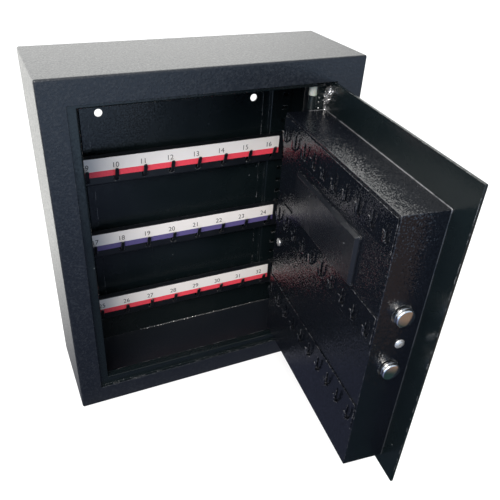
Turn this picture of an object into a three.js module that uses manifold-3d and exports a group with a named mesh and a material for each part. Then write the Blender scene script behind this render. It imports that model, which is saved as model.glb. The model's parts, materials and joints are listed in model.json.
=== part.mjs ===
// Wall-mounted steel key cabinet with an inset door that stands open.
// Units are millimetres. +X is to the right of a person facing the door opening, -Y is the
// front, +Z is up. The origin is the middle of the wall face. Heights in the pieces below are
// measured from the cabinet's bottom edge, and the whole group is lowered by half its height.
import * as THREE from 'three';
import { mergeVertices } from 'three/addons/utils/BufferGeometryUtils.js';
import Module from 'manifold-3d';

const wasm = await Module();
wasm.setup();

// ---------------------------------------------------------------- driving dimensions
const WIDTH = 380;
const HEIGHT = 450;
const DEPTH = 130;
const BODY_SHEET = 2;
const THIN_SHEET = 1.5;
const RAIL_SHEET = 1.2;
const GAP = 0.3; // between pieces that touch on the real cabinet
const BEND_RADIUS = 2.5;

const FRAME_WIDTH = 28; // front face beside, above and below the door
const HINGE_FRAME_WIDTH = 36.4; // wider, so that the open door lies close to the frame
const STOP_SETBACK = 5; // the door stop behind the front face
const STOP_LIP = 11.5; // how far the stop shows inside the opening
const STOP_TOP_LIP = 6; // the same along the top
const STOP_RETURN = 11.5; // depth of its folded edge
const STOP_END_X = 123; // the stop ends short of the hinge

const FIXING_HOLE = { diameter: 10, x: 107, z: 366.5 };

const PIVOT = { x: 133.6, y: -109.1 }; // door hinge axis, inside the cabinet
const OPEN_ANGLE = THREE.MathUtils.degToRad(84);
const HINGE_PIN_RADIUS = 3;
const BARREL_RADIUS = 5;
const LUG = { upperZ: 415.5, lowerZ: 25.5, sheet: 3, halfWidth: 10, forward: 9, behind: 12 };
const HINGE_ARM = {
  halfThickness: 1.8,
  upper: { barrel: [384.2, 401], web: [372, 401], ear: [400, 412], pin: [385, 421] },
  lower: { barrel: [31, 45.6], web: [31, 58], ear: [50, 64], pin: [20, 44.8] },
};

const DOOR_GAP = 1;
const DOOR_HINGE_GAP = 3;
const DOOR_SHEET = 3;
const PAN = { x0: -133.5, x1: 129, z0: 46, z1: 383.5, faceY: -75, radius: 3 };

const RAIL_TOPS = { top: 315, middle: 204, bottom: 93 };
const RAIL = { frontY: -20, height: 38, halfWidth: 150, bottomReturn: 7 };
const RAIL_EAR = { halfWidth: 3, reach: 3.6, drop: 8 };
const RAIL_HOOKS = { count: 8, pitch: 38, width: 5 };
const LABEL = { halfWidth: 142.5, height: 25.5, thickness: 0.6 };
const SLOT = { x: 153, pitch: 18.5, count: 19, lowest: 55, width: 8, height: 5 };
const UPRIGHT = { inner: 121, riser: 132, outer: 162, standOff: 7.5, z0: 46, z1: 404 };

const STRIP_TOPS = { top: 380, middle: 269, bottom: 145 };
const STRIP_HEIGHT = 38;
const STRIP_HOOKS = { count: 10, pitch: 26.6, width: 3.8 };
const STRIP_WINDOW = { width: 8.4, height: 20, below: 11 };
const COVER = { x0: -80, x1: 74, z0: 270.5, z1: 331, height: 5, bevel: 4 };
const SCREW = { head: 5.6, height: 2.6, shank: 2, length: 7, recess: 1.4, cross: 4.6, crossWidth: 1 };
const FACE_SCREW = { x: 113, z: 207 };
const SIDE_SCREW = { y: -108.4, z: 230 };

const BOLT = { radius: 10.5, shaft: 9.6, y: -102, spacing: 72, tipX: -142.6, tailX: -106.3 };
const BOLT_THROW = 13.8;
const LOCK_Z = 234; // height of the knob, midway between the bolts
const CARRIER = {
  thickness: 3, halfHeight: 46, x1: -40, flangeHalfDepth: 11,
  arm: { x1: 2, z0: 256, z1: 266 }, stop: { x: -5, width: 5, topZ: 277 },
};
const GUIDE_STUD = { x: -60, spacing: 60, neck: 3, head: 5.5, headHeight: 2.5, slack: 0.5 };
const KNOB = { x: -72, radius: 20, base: -133.4, length: 25, scallops: 8, scallopRadius: 6 };
const ROSE = { radius: 24, thickness: 2.6 };
const SPINDLE = { radius: 5, front: -150, back: -106.8 };
const CAM = { radius: 17, y0: -111, y1: -107 };
const CAM_PIN = { offset: 12, radius: 2.5, end: -98, slack: 0.7 };
const CAM_PIN_ANGLE = THREE.MathUtils.degToRad(35); // to either side of straight up

const KEY = { x: 5, z: 301, radius: 7, rim: 8.6, back: -108, escutcheon: 13 };
const PLUG_TAIL = { radius: 9.6, y1: -106.2, pinOffset: 7.07, pinRadius: 2, pinEnd: -99.5, slack: 0.6 };
const CASE = { x0: -30, x1: 24, y1: -94, z0: 282, z1: 322, wall: 1.6 };
const TONGUE = { x0: -12.6, width: 5, y0: -104.5, y1: -100.5, tipZ: 279, topZ: 313, armHalfHeight: 6 };

// ---------------------------------------------------------------- materials
const paint = (color, roughness) => new THREE.MeshStandardMaterial({ color, roughness, metalness: 0.2 });
const metal = (color, roughness) => new THREE.MeshStandardMaterial({ color, roughness, metalness: 1 });
const BODY_PAINT = paint(0x10131a, 0.5);
const DOOR_PAINT = paint(0x0a0b0d, 0.25);
const RAIL_PAINT = paint(0x0e1012, 0.45);
const LABEL_CARD = new THREE.MeshStandardMaterial({ color: 0xd9d4cb, roughness: 0.7, metalness: 0 });
const CHROME = metal(0xc8cacc, 0.12);
const ZINC = metal(0x9a9c9e, 0.4);
const NYLON = new THREE.MeshStandardMaterial({ color: 0xdcdccf, roughness: 0.5, metalness: 0 });

// ---------------------------------------------------------------- solids
function toSolid(geometry) {
  const bare = geometry.clone();
  bare.deleteAttribute('normal');
  bare.deleteAttribute('uv');
  const merged = mergeVertices(bare, 1e-4);
  const index = merged.index.array;
  const triVerts = [];
  for (let i = 0; i < index.length; i += 3) {
    const corners = [index[i], index[i + 1], index[i + 2]];
    if (new Set(corners).size === 3) triVerts.push(...corners);
  }
  return new wasm.Manifold(new wasm.Mesh({
    numProp: 3,
    vertProperties: Float32Array.from(merged.attributes.position.array),
    triVerts: Uint32Array.from(triVerts),
  }));
}

function toGeometry(solid) {
  const { vertProperties, triVerts } = solid.getMesh();
  const geometry = new THREE.BufferGeometry();
  geometry.setAttribute('position', new THREE.BufferAttribute(vertProperties, 3));
  geometry.setIndex(new THREE.BufferAttribute(triVerts, 1));
  geometry.computeVertexNormals();
  return geometry;
}

const join = (first, ...others) => others.reduce((sum, next) => sum.add(next), first);
const cut = (first, ...others) => others.reduce((rest, next) => rest.subtract(next), first);

function block(x0, x1, y0, y1, z0, z1) {
  const box = new THREE.BoxGeometry(x1 - x0, y1 - y0, z1 - z0);
  return toSolid(box.translate((x0 + x1) / 2, (y0 + y1) / 2, (z0 + z1) / 2));
}

// A cylinder along 'x', 'y' or 'z' between two stations, centred on the other two coordinates.
function rod(axis, radius, from, to, centre, segments = 28) {
  const cylinder = new THREE.CylinderGeometry(radius, radius, to - from, segments);
  const middle = (from + to) / 2;
  if (axis === 'x') cylinder.rotateZ(-Math.PI / 2).translate(middle, centre[0], centre[1]);
  if (axis === 'y') cylinder.translate(centre[0], middle, centre[1]);
  if (axis === 'z') cylinder.rotateX(Math.PI / 2).translate(centre[0], centre[1], middle);
  return toSolid(cylinder);
}

const outline = (points) => new THREE.Shape(points.map(([u, v]) => new THREE.Vector2(u, v)));

// An outline in X and Z, given thickness from y0 to y1.
function plateXZ(points, y0, y1) {
  const plate = new THREE.ExtrudeGeometry(outline(points), { depth: y1 - y0, bevelEnabled: false });
  return toSolid(plate.rotateX(Math.PI / 2).translate(0, y1, 0));
}

// An outline in Y and Z, drawn out along X from x0 to x1.
function sectionYZ(points, x0, x1) {
  const section = new THREE.ExtrudeGeometry(outline(points), { depth: x1 - x0, bevelEnabled: false });
  const axes = new THREE.Matrix4().makeBasis(
    new THREE.Vector3(0, 1, 0), new THREE.Vector3(0, 0, 1), new THREE.Vector3(1, 0, 0));
  return toSolid(section.applyMatrix4(axes).translate(x0, 0, 0));
}

// An outline in X and Y, drawn out upwards from z0 to z1.
function sectionXY(points, z0, z1) {
  const section = new THREE.ExtrudeGeometry(outline(points), { depth: z1 - z0, bevelEnabled: false });
  return toSolid(section.translate(0, 0, z0));
}

// The outline of a folded strip of constant thickness along a centre line.
function foldedStrip(path, thickness) {
  const sides = [[], []];
  path.forEach(([u, v], i) => {
    const [u0, v0] = path[Math.max(i - 1, 0)];
    const [u1, v1] = path[Math.min(i + 1, path.length - 1)];
    const length = Math.hypot(u1 - u0, v1 - v0);
    const offset = [-(v1 - v0) / length * thickness / 2, (u1 - u0) / length * thickness / 2];
    sides[0].push([u + offset[0], v + offset[1]]);
    sides[1].unshift([u - offset[0], v - offset[1]]);
  });
  return [...sides[0], ...sides[1]];
}

// A block with rounded corners in X and Z and rounded edges on its +Y or -Y face.
function pillow(x0, x1, y0, y1, z0, z1, radius, roundFace) {
  const [u0, u1, v0, v1] = [x0 + radius, x1 - radius, z0 + radius, z1 - radius];
  const shape = new THREE.Shape();
  shape.absarc(u1, v0, radius, -Math.PI / 2, 0);
  shape.absarc(u1, v1, radius, 0, Math.PI / 2);
  shape.absarc(u0, v1, radius, Math.PI / 2, Math.PI);
  shape.absarc(u0, v0, radius, Math.PI, 1.5 * Math.PI);
  const depth = y1 - y0;
  const slab = new THREE.ExtrudeGeometry(shape, {
    depth, curveSegments: 3, bevelEnabled: true, bevelSegments: 2,
    bevelThickness: radius, bevelSize: 0.96 * radius, bevelOffset: -0.96 * radius,
  });
  slab.rotateX(Math.PI / 2).translate(0, roundFace === '+y' ? y1 - radius : y1 + radius, 0);
  return toSolid(slab).intersect(block(x0 - 1, x1 + 1, y0, y1, z0 - 1, z1 + 1));
}

// A solid of revolution about 'x' or 'y'. The profile lists [radius, station] pairs.
function turned(axis, profile, centre, segments = 28) {
  const points = profile.map(([radius, station]) => new THREE.Vector2(radius, station));
  const lathe = new THREE.LatheGeometry(points, segments);
  if (axis === 'x') lathe.rotateZ(-Math.PI / 2).translate(0, centre[0], centre[1]);
  if (axis === 'y') lathe.translate(centre[0], 0, centre[1]);
  return toSolid(lathe);
}

const row = (count, pitch) => Array.from({ length: count }, (_, i) => (i - (count - 1) / 2) * pitch);

function addPart(group, name, solid, material) {
  const mesh = new THREE.Mesh(toGeometry(solid), material);
  mesh.name = name;
  group.add(mesh);
  return mesh;
}

// ---------------------------------------------------------------- cabinet body
const LEFT = -WIDTH / 2;
const RIGHT = WIDTH / 2;
const FRONT = -DEPTH;
const FRAME_BACK = FRONT + BODY_SHEET;
const OPENING = {
  x0: LEFT + FRAME_WIDTH, x1: RIGHT - HINGE_FRAME_WIDTH, z0: FRAME_WIDTH, z1: HEIGHT - FRAME_WIDTH,
};

function bodyShell() {
  const outside = pillow(LEFT, RIGHT, FRONT, 0, 0, HEIGHT, BEND_RADIUS, '-y');
  const inside = block(LEFT + BODY_SHEET, RIGHT - BODY_SHEET, FRAME_BACK, 1,
    BODY_SHEET, HEIGHT - BODY_SHEET);
  const doorway = block(OPENING.x0, OPENING.x1, FRONT - 1, FRAME_BACK + 1, OPENING.z0, OPENING.z1);
  return cut(outside, inside, doorway);
}

function backPanel() {
  const edge = BODY_SHEET + GAP;
  const sheet = block(LEFT + edge, RIGHT - edge, -BODY_SHEET, 0, edge, HEIGHT - edge);
  const holes = [-1, 1].map((side) => rod('y', FIXING_HOLE.diameter / 2, -BODY_SHEET - 1, 1,
    [side * FIXING_HOLE.x, FIXING_HOLE.z]));
  return cut(sheet, ...holes);
}

// One layer of the three-sided door stop, between two distances from the cabinet's outside.
// Its top side may be moved up by a rise.
function stopLayer(outer, inner, y0, y1, outerRise = 0, innerRise = 0) {
  const [outerTop, innerTop] = [HEIGHT - outer + outerRise, HEIGHT - inner + innerRise];
  return plateXZ([
    [STOP_END_X, outer], [LEFT + outer, outer], [LEFT + outer, outerTop],
    [STOP_END_X, outerTop], [STOP_END_X, innerTop], [LEFT + inner, innerTop],
    [LEFT + inner, inner], [STOP_END_X, inner],
  ], y0, y1);
}

function doorStopFrame() {
  const webY = FRONT + STOP_SETBACK;
  const inner = FRAME_WIDTH + STOP_LIP;
  const rise = STOP_LIP - STOP_TOP_LIP;
  const step = stopLayer(FRAME_WIDTH - THIN_SHEET, FRAME_WIDTH, FRAME_BACK + GAP, webY + THIN_SHEET);
  const web = stopLayer(FRAME_WIDTH - THIN_SHEET, inner, webY, webY + THIN_SHEET, 0, rise);
  const fold = stopLayer(inner - THIN_SHEET, inner, webY, webY + STOP_RETURN, rise, rise);
  return join(web, step, fold);
}

function upright(side) {
  const back = -BODY_SHEET - GAP;
  const webY = back - UPRIGHT.standOff;
  const { inner, riser, outer } = UPRIGHT;
  const section = [
    [inner, back], [inner, back - THIN_SHEET], [riser, back - THIN_SHEET], [riser, webY], [outer, webY],
    [outer, back], [outer - THIN_SHEET, back], [outer - THIN_SHEET, webY + THIN_SHEET],
    [riser + THIN_SHEET, webY + THIN_SHEET], [riser + THIN_SHEET, back],
  ];
  const strip = sectionXY(section.map(([x, y]) => [side * x, y]), UPRIGHT.z0, UPRIGHT.z1);
  const slots = Array.from({ length: SLOT.count }, (_, i) => {
    const z = SLOT.lowest + i * SLOT.pitch;
    const x = side * SLOT.x;
    return block(x - SLOT.width / 2, x + SLOT.width / 2, webY - 1, webY + THIN_SHEET + 1,
      z - SLOT.height / 2, z + SLOT.height / 2);
  });
  return cut(strip, ...slots);
}

// A tongue that is pressed out of the sheet below and leans forward as it rises.
function railHook(x) {
  const y = RAIL.frontY;
  const path = [[y + 0.6, -33], [y - 2.6, -32], [y - 4.6, -29.5], [y - 10, -13.5], [y - 10.8, -12.5]];
  return sectionYZ(foldedStrip(path, RAIL_SHEET), x - RAIL_HOOKS.width / 2, x + RAIL_HOOKS.width / 2);
}

// A key rail with its top edge at height 0. Its ears hook through the slots of the uprights.
function keyRail() {
  const { frontY, height, halfWidth, bottomReturn } = RAIL;
  const flangeBack = -BODY_SHEET - GAP - UPRIGHT.standOff - GAP;
  const plate = block(-halfWidth, halfWidth, frontY, frontY + RAIL_SHEET, -height, 0);
  const foot = block(-halfWidth, halfWidth, frontY, frontY + bottomReturn, -height, RAIL_SHEET - height);
  const earX = SLOT.x + SLOT.width / 2 - 1;
  const flange = block(-earX, earX, frontY, flangeBack, -RAIL_SHEET, 0);
  const ears = [-1, 1].flatMap((side) => {
    const [x0, x1] = [side * SLOT.x - RAIL_EAR.halfWidth, side * SLOT.x + RAIL_EAR.halfWidth];
    const tipY = flangeBack + RAIL_EAR.reach;
    return [
      block(x0, x1, flangeBack - 1, tipY, -RAIL_SHEET, 0),
      block(x0, x1, tipY - RAIL_SHEET, tipY, -RAIL_EAR.drop, 0),
    ];
  });
  const hooks = row(RAIL_HOOKS.count, RAIL_HOOKS.pitch).map(railHook);
  return join(plate, foot, flange, ...ears, ...hooks);
}

function labelStrip() {
  const y = RAIL.frontY - GAP;
  return block(-LABEL.halfWidth, LABEL.halfWidth, y - LABEL.thickness, y, -LABEL.height - 0.5, -0.5);
}

// A folded lug that reaches from the top or bottom wall to the hinge axis and takes a hinge pin.
function pivotLug(leafZ, wallZ) {
  const { sheet, halfWidth, forward, behind } = LUG;
  const [x0, x1] = [PIVOT.x - halfWidth, PIVOT.x + halfWidth];
  const [leafZ0, leafZ1] = [leafZ - sheet / 2, leafZ + sheet / 2];
  const leaf = block(x0, x1, PIVOT.y - forward, PIVOT.y + behind, leafZ0, leafZ1);
  const [z0, z1] = leafZ < wallZ ? [leafZ0, wallZ] : [wallZ, leafZ1];
  const leg = block(x0, x1, PIVOT.y + behind - sheet, PIVOT.y + behind, z0, z1);
  const bore = rod('z', HINGE_PIN_RADIUS + GAP, leafZ0 - 1, leafZ1 + 1, [PIVOT.x, PIVOT.y]);
  return cut(join(leaf, leg), bore);
}

// ---------------------------------------------------------------- door
const PLATE_BACK = FRONT + DOOR_SHEET;
const INSIDE_PLATE = PLATE_BACK + GAP; // first free station behind the door plate

function doorPlate() {
  const sheet = pillow(OPENING.x0 + DOOR_GAP, OPENING.x1 - DOOR_HINGE_GAP, FRONT, PLATE_BACK,
    OPENING.z0 + DOOR_GAP, OPENING.z1 - DOOR_GAP, 1, '-y');
  const spindleHole = rod('y', 6, FRONT - 1, PLATE_BACK + 1, [KNOB.x, LOCK_Z]);
  const keyHole = rod('y', KEY.radius + 0.5, FRONT - 1, PLATE_BACK + 1, [KEY.x, KEY.z]);
  return cut(sheet, spindleHole, keyHole);
}

function doorPan() {
  const { x0, x1, z0, z1, faceY, radius } = PAN;
  const t = THIN_SHEET;
  const outside = pillow(x0, x1, INSIDE_PLATE, faceY, z0, z1, radius, '+y');
  const inside = pillow(x0 + t, x1 - t, FRONT, faceY - t, z0 + t, z1 - t, radius - t, '+y');
  const boltHoles = [-1, 1].map((way) => rod('x', BOLT.radius + 0.8, x0 - 1, x0 + 5,
    [BOLT.y, LOCK_Z + way * BOLT.spacing / 2]));
  const sideScrewHole = rod('x', SCREW.shank + GAP, x0 - 1, x0 + 5, [SIDE_SCREW.y, SIDE_SCREW.z], 16);
  const faceScrewHole = rod('y', SCREW.shank + GAP, faceY - 5, faceY + 1,
    [FACE_SCREW.x, FACE_SCREW.z], 16);
  return cut(outside, inside, ...boltHoles, sideScrewHole, faceScrewHole);
}

// A hook strip with its top edge at height 0, spot-welded to the face of the pan.
function hookStrip() {
  const y0 = PAN.faceY + GAP;
  const y1 = y0 + RAIL_SHEET;
  const sheet = block(PAN.x0 + 1.5, PAN.x1 - 1.5, y0, y1, -STRIP_HEIGHT, 0);
  const windowTop = -STRIP_WINDOW.below;
  const windowBottom = windowTop - STRIP_WINDOW.height;
  const middle = (y0 + y1) / 2;
  const path = [
    [middle, windowBottom - 1], [middle + 1, windowBottom + 1], [middle + 4.2, windowBottom + 2.6],
    [middle + 5, windowBottom + 4.2], [middle + 6, windowTop - 5], [middle + 7.4, windowTop - 3.6],
  ];
  const stations = row(STRIP_HOOKS.count, STRIP_HOOKS.pitch);
  const windows = stations.map((x) => block(x - STRIP_WINDOW.width / 2, x + STRIP_WINDOW.width / 2,
    y0 - 1, y1 + 1, windowBottom, windowTop));
  const tongues = stations.map((x) => sectionYZ(foldedStrip(path, RAIL_SHEET),
    x - STRIP_HOOKS.width / 2, x + STRIP_HOOKS.width / 2));
  return join(cut(sheet, ...windows), ...tongues);
}

function lockCover() {
  const { x0, x1, z0, z1, height, bevel } = COVER;
  const y0 = PAN.faceY + GAP;
  const t = THIN_SHEET;
  const outside = pillow(x0, x1, y0, y0 + height, z0, z1, bevel, '+y');
  const inside = pillow(x0 + t, x1 - t, y0 - 3, y0 + height - t, z0 + t, z1 - t, bevel - t, '+y');
  return cut(outside, inside);
}

// The arm is welded to the door plate and carries a pin in a barrel on the hinge axis. An ear
// on the arm gives the weld more length and stays clear of the barrel and the sleeve.
function hingeArm(barrel, web, ear) {
  const t = HINGE_ARM.halfThickness;
  const centre = [PIVOT.x, PIVOT.y];
  const arm = join(block(PIVOT.x - t, PIVOT.x + t, INSIDE_PLATE, PIVOT.y, ...web),
    block(PIVOT.x - t, PIVOT.x + t, INSIDE_PLATE, PIVOT.y - BARREL_RADIUS - 1, ...ear));
  const [z0, z1] = [Math.min(...web, ...barrel) - 1, Math.max(...web, ...barrel) + 1];
  const bore = rod('z', HINGE_PIN_RADIUS + GAP, z0, z1, centre, 24);
  return cut(join(arm, rod('z', BARREL_RADIUS, ...barrel, centre, 24)), bore);
}

const hingePin = (z0, z1) => rod('z', HINGE_PIN_RADIUS, z0, z1, [PIVOT.x, PIVOT.y], 24);

function hingeSleeve(z0, z1) {
  const sleeve = rod('z', BARREL_RADIUS, z0, z1, [PIVOT.x, PIVOT.y], 24);
  return cut(sleeve, rod('z', HINGE_PIN_RADIUS + GAP, z0 - 1, z1 + 1, [PIVOT.x, PIVOT.y], 24));
}

// A pan-head screw whose head rises from station 0 along the axis, with a cross recess.
function screw(axis) {
  const { head, height, shank, length, recess, cross, crossWidth } = SCREW;
  const body = turned(axis, [
    [0, -length], [shank, -length], [shank, GAP], [head, GAP], [head, height * 0.3],
    [head * 0.85, height * 0.75], [head * 0.5, height], [0, height],
  ], [0, 0], 20);
  const bottom = height - recess;
  const groove = (u, v) => (axis === 'x'
    ? block(bottom, height + 1, -u / 2, u / 2, -v / 2, v / 2)
    : block(-u / 2, u / 2, bottom, height + 1, -v / 2, v / 2));
  return cut(body, groove(cross, crossWidth), groove(crossWidth, cross));
}

// ---------------------------------------------------------------- bolt work
function lockBolt(z) {
  const { radius, shaft, y, tipX, tailX } = BOLT;
  return turned('x', [
    [0, tipX], [radius - 1, tipX], [radius, tipX + 1], [radius, tipX + 2.8], [radius - 1.4, tipX + 3.2],
    [radius - 1.4, tipX + 4.4], [radius, tipX + 4.8], [radius, tipX + 6.4], [shaft, tipX + 7],
    [shaft, tailX], [0, tailX],
  ], [y, z], 28);
}

function boltBush(z) {
  const [x0, x1] = [PAN.x0 + THIN_SHEET + GAP, PAN.x0 + THIN_SHEET + 7.5];
  const ring = rod('x', BOLT.radius + 3, x0, x1, [BOLT.y, z]);
  return cut(ring, rod('x', BOLT.shaft + GAP, x0 - 1, x1 + 1, [BOLT.y, z]));
}

function boltCarrier() {
  const y0 = BOLT.y - CARRIER.thickness / 2;
  const y1 = BOLT.y + CARRIER.thickness / 2;
  const flangeX = BOLT.tailX + GAP;
  const { arm, stop, thickness, halfHeight, x1, flangeHalfDepth } = CARRIER;
  const [z0, z1] = [LOCK_Z - halfHeight, LOCK_Z + halfHeight];
  const plate = block(flangeX, x1, y0, y1, z0, z1);
  const [flangeY0, flangeY1] = [BOLT.y - flangeHalfDepth, BOLT.y + flangeHalfDepth];
  const flange = block(flangeX, flangeX + thickness, flangeY0, flangeY1, z0, z1);
  const reach = block(x1 - 1, arm.x1, y0, y1, arm.z0, arm.z1);
  const stopPost = block(stop.x, stop.x + stop.width, y0, y1, arm.z1 - 1, stop.topZ);
  // The cam pin rises as it passes over the spindle, so its slot is taller than the pin.
  const pinRise = CAM_PIN.offset * (1 - Math.cos(CAM_PIN_ANGLE));
  const pinX = KNOB.x + CAM_PIN.offset * Math.sin(CAM_PIN_ANGLE);
  const pinZ = LOCK_Z + CAM_PIN.offset - pinRise / 2;
  const slack = CAM_PIN.radius + CAM_PIN.slack;
  const rise = pinRise / 2 + slack;
  const pinSlot = block(pinX - slack, pinX + slack, y0 - 1, y1 + 1, pinZ - rise, pinZ + rise);
  const neck = GUIDE_STUD.neck + GUIDE_STUD.slack;
  const studSlots = [-1, 1].map((way) => {
    const z = LOCK_Z + way * GUIDE_STUD.spacing / 2;
    const [slotX0, slotX1] = [GUIDE_STUD.x - neck, GUIDE_STUD.x + BOLT_THROW + neck];
    return block(slotX0, slotX1, y0 - 1, y1 + 1, z - neck, z + neck);
  });
  return cut(join(plate, flange, reach, stopPost), pinSlot, ...studSlots);
}

function guideStud(z) {
  const { neck, head, headHeight, x } = GUIDE_STUD;
  const carrierFront = BOLT.y - CARRIER.thickness / 2 - GAP;
  const carrierBack = BOLT.y + CARRIER.thickness / 2 + GAP;
  return turned('y', [
    [0, INSIDE_PLATE], [head, INSIDE_PLATE], [head, carrierFront],
    [neck, carrierFront], [neck, carrierBack],
    [head, carrierBack], [head, carrierBack + headHeight], [0, carrierBack + headHeight],
  ], [x, z], 24);
}

// ---------------------------------------------------------------- knob and key lock
function knobRose() {
  const y1 = FRONT - GAP;
  const plate = turned('y', [
    [0, y1 - ROSE.thickness], [ROSE.radius - 2, y1 - ROSE.thickness],
    [ROSE.radius, y1 - 1], [ROSE.radius, y1],
    [0, y1],
  ], [KNOB.x, LOCK_Z], 36);
  return cut(plate, rod('y', SPINDLE.radius + GAP, y1 - 5, y1 + 1, [KNOB.x, LOCK_Z]));
}

function knob() {
  const front = KNOB.base - KNOB.length;
  const r = KNOB.radius;
  const body = turned('y', [
    [0, front], [r - 5, front], [r - 1.5, front + 2], [r, front + 5], [r, front + 14], [r - 4, front + 19],
    [r - 4, KNOB.base], [0, KNOB.base],
  ], [KNOB.x, LOCK_Z], 36);
  const away = r + KNOB.scallopRadius - 2;
  const scallops = Array.from({ length: KNOB.scallops }, (_, i) => {
    const angle = (i + 0.5) * 2 * Math.PI / KNOB.scallops;
    const centre = [KNOB.x + away * Math.cos(angle), LOCK_Z + away * Math.sin(angle)];
    return rod('y', KNOB.scallopRadius, front - 1, front + 15, centre, 20);
  });
  const bore = rod('y', SPINDLE.radius + GAP, SPINDLE.front - GAP, KNOB.base + 1, [KNOB.x, LOCK_Z]);
  return cut(body, bore, ...scallops);
}

const knobSpindle = () => rod('y', SPINDLE.radius, SPINDLE.front, SPINDLE.back, [KNOB.x, LOCK_Z]);

function driveCam() {
  const disc = rod('y', CAM.radius, CAM.y0, CAM.y1, [KNOB.x, LOCK_Z]);
  const bore = rod('y', SPINDLE.radius + GAP, CAM.y0 - 1, CAM.y1 + 1, [KNOB.x, LOCK_Z]);
  const pinAt = [
    KNOB.x + CAM_PIN.offset * Math.sin(CAM_PIN_ANGLE), LOCK_Z + CAM_PIN.offset * Math.cos(CAM_PIN_ANGLE),
  ];
  const pin = rod('y', CAM_PIN.radius, CAM.y1 - 1, CAM_PIN.end, pinAt, 20);
  return join(cut(disc, bore), pin);
}

function lockCase() {
  const { x0, x1, y1, z0, z1, wall } = CASE;
  const y0 = INSIDE_PLATE;
  const shell = cut(block(x0, x1, y0, y1, z0, z1),
    block(x0 + wall, x1 - wall, y0 + wall, y1 + 1, z0 + wall, z1 - wall));
  const plugHole = rod('y', KEY.radius + 0.4, y0 - 1, y0 + 5, [KEY.x, KEY.z]);
  const tongueHole = block(TONGUE.x0 - 0.6, TONGUE.x0 + TONGUE.width + 0.6,
    TONGUE.y0 - 0.6, TONGUE.y1 + 0.6, z0 - 1, z0 + wall + 1);
  return cut(shell, plugHole, tongueHole);
}

const lockCaseLid = () => block(CASE.x0, CASE.x1, CASE.y1 + GAP, CASE.y1 + GAP + RAIL_SHEET,
  CASE.z0, CASE.z1);

// The pin of the plug is 45 degrees above the axis at rest, and 45 degrees below it when locked.
const PLUG_PIN = {
  x: KEY.x - PLUG_TAIL.pinOffset * Math.SQRT1_2, z: KEY.z + PLUG_TAIL.pinOffset * Math.SQRT1_2,
};

function keyPlug() {
  const front = FRONT - 5;
  const centre = [KEY.x, KEY.z];
  const { radius, y1, pinRadius, pinEnd } = PLUG_TAIL;
  const body = rod('y', KEY.radius, front, KEY.back, centre);
  const rim = rod('y', KEY.rim, front, FRONT - 2.6, centre);
  const tail = rod('y', radius, KEY.back - 1, y1, centre);
  const pin = rod('y', pinRadius, y1 - 1, pinEnd, [PLUG_PIN.x, PLUG_PIN.z], 20);
  const keyway = block(KEY.x - 0.8, KEY.x + 0.8, front - 1, front + 16, KEY.z - 4, KEY.z + 4);
  return cut(join(body, rim, tail, pin), keyway);
}

function keyEscutcheon() {
  const y1 = FRONT - GAP;
  const ring = rod('y', KEY.escutcheon, y1 - 2, y1, [KEY.x, KEY.z]);
  return cut(ring, rod('y', KEY.radius + GAP, y1 - 5, y1 + 1, [KEY.x, KEY.z]));
}

function lockTongue() {
  const { x0, width, y0, y1, tipZ, topZ, armHalfHeight } = TONGUE;
  const bar = block(x0, x0 + width, y0, y1, tipZ, topZ);
  const arm = block(x0 + width - 1, KEY.x, y0, y1, PLUG_PIN.z - armHalfHeight, PLUG_PIN.z + armHalfHeight);
  const reach = PLUG_TAIL.pinOffset * (1 - Math.SQRT1_2); // how far the pin swings sideways
  const slack = PLUG_TAIL.pinRadius + PLUG_TAIL.slack;
  const slot = block(PLUG_PIN.x - reach - slack, PLUG_PIN.x + slack, y0 - 1, y1 + 1,
    PLUG_PIN.z - slack, PLUG_PIN.z + slack);
  return cut(join(bar, arm), slot);
}

// ---------------------------------------------------------------- assembly
const cabinet = new THREE.Group();
cabinet.position.z = -HEIGHT / 2;
addPart(cabinet, 'body_shell', bodyShell(), BODY_PAINT);
addPart(cabinet, 'back_panel', backPanel(), BODY_PAINT);
addPart(cabinet, 'door_stop_frame', doorStopFrame(), BODY_PAINT);
addPart(cabinet, 'left_upright', upright(-1), RAIL_PAINT);
addPart(cabinet, 'right_upright', upright(1), RAIL_PAINT);
addPart(cabinet, 'upper_pivot_lug', pivotLug(LUG.upperZ, HEIGHT - BODY_SHEET - GAP), BODY_PAINT);
addPart(cabinet, 'lower_pivot_lug', pivotLug(LUG.lowerZ, BODY_SHEET + GAP), BODY_PAINT);
for (const [place, z] of Object.entries(RAIL_TOPS)) {
  addPart(cabinet, `key_rail_${place}`, keyRail(), RAIL_PAINT).position.z = z;
  addPart(cabinet, `label_strip_${place}`, labelStrip(), LABEL_CARD).position.z = z;
}

// The door is drawn shut, in cabinet coordinates, inside a group that turns about the hinge axis.
const doorSwing = new THREE.Group();
doorSwing.position.set(PIVOT.x, PIVOT.y, 0);
doorSwing.rotation.z = OPEN_ANGLE;
cabinet.add(doorSwing);
const door = new THREE.Group();
door.position.set(-PIVOT.x, -PIVOT.y, 0);
doorSwing.add(door);

addPart(door, 'door_plate', doorPlate(), BODY_PAINT);
addPart(door, 'door_pan', doorPan(), DOOR_PAINT);
addPart(door, 'lock_cover', lockCover(), BODY_PAINT);
for (const [place, z] of Object.entries(STRIP_TOPS)) {
  addPart(door, `hook_strip_${place}`, hookStrip(), DOOR_PAINT).position.z = z;
}
for (const place of ['upper', 'lower']) {
  const { barrel, web, ear, pin } = HINGE_ARM[place];
  addPart(door, `${place}_hinge_arm`, hingeArm(barrel, web, ear), BODY_PAINT);
  addPart(door, `${place}_hinge_pin`, hingePin(...pin), ZINC);
}
addPart(door, 'upper_hinge_sleeve',
  hingeSleeve(HINGE_ARM.upper.barrel[1] + GAP, LUG.upperZ - LUG.sheet / 2 - GAP), NYLON);
addPart(door, 'lower_hinge_sleeve',
  hingeSleeve(LUG.lowerZ + LUG.sheet / 2 + GAP, HINGE_ARM.lower.barrel[0] - GAP), NYLON);
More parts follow.
